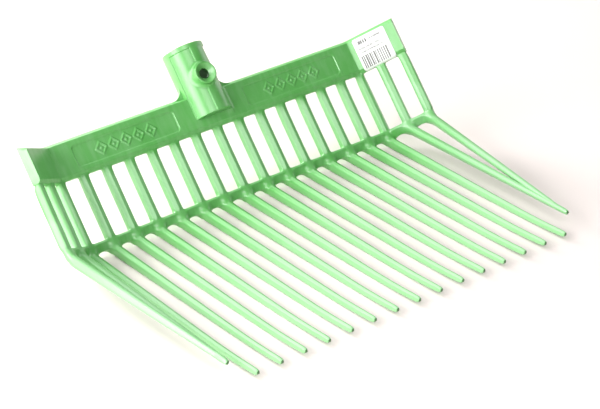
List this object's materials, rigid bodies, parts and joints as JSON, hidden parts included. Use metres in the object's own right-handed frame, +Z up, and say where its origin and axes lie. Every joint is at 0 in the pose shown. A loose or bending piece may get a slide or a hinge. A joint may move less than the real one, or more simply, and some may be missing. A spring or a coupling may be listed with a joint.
{
  "type": "bedding fork head",
  "caption": "Moulded plastic bedding fork head: slotted back with forward wings and a header, long tapered tines, and a blind socket with a screw boss for a separate handle.",
  "frame": {"origin": "on the ground plane under the middle of the whole outline, half way between the outer wings and half way between the tips and the socket's mouth", "axes": "+X runs across the fork to the user's right, seen from the tine tips looking at the header; +Y runs from the tips back to the header; +Z is up, square to the plane on which the tines lie"},
  "size_m": [0.3974, 0.3401, 0.1287],
  "materials": {
    "green_plastic": "satin, fine moulded grain",
    "label_paper": "matt self-adhesive paper"
  },
  "bodies": {
    "root": {"header_plate": "green_plastic", "wing_plate_left": "green_plastic", "wing_plate_right": "green_plastic", "handle_socket": "green_plastic", "screw_boss": "green_plastic", "socket_web_left": "green_plastic", "socket_web_right": "green_plastic", "crossbar_centre": "green_plastic", "crossbar_left": "green_plastic", "crossbar_right": "green_plastic", "upper_bar_01": "green_plastic", "upper_bar_02": "green_plastic", "upper_bar_03": "green_plastic", "upper_bar_04": "green_plastic", "upper_bar_05": "green_plastic", "upper_bar_06": "green_plastic", "upper_bar_07": "green_plastic", "upper_bar_08": "green_plastic", "upper_bar_09": "green_plastic", "upper_bar_10": "green_plastic", "upper_bar_11": "green_plastic", "upper_bar_12": "green_plastic", "upper_bar_13": "green_plastic", "upper_bar_14": "green_plastic", "upper_bar_15": "green_plastic", "upper_bar_16": "green_plastic", "upper_bar_17": "green_plastic", "upper_bar_18": "green_plastic", "upper_bar_19": "green_plastic", "tine_01": "green_plastic", "tine_02": "green_plastic", "tine_03": "green_plastic", "tine_04": "green_plastic", "tine_05": "green_plastic", "tine_06": "green_plastic", "tine_07": "green_plastic", "tine_08": "green_plastic", "tine_09": "green_plastic", "tine_10": "green_plastic", "tine_11": "green_plastic", "tine_12": "green_plastic", "tine_13": "green_plastic", "tine_14": "green_plastic", "tine_15": "green_plastic", "tine_16": "green_plastic", "tine_17": "green_plastic", "tine_18": "green_plastic", "tine_19": "green_plastic", "barcode_label": "label_paper"}
  },
  "joints": []
}
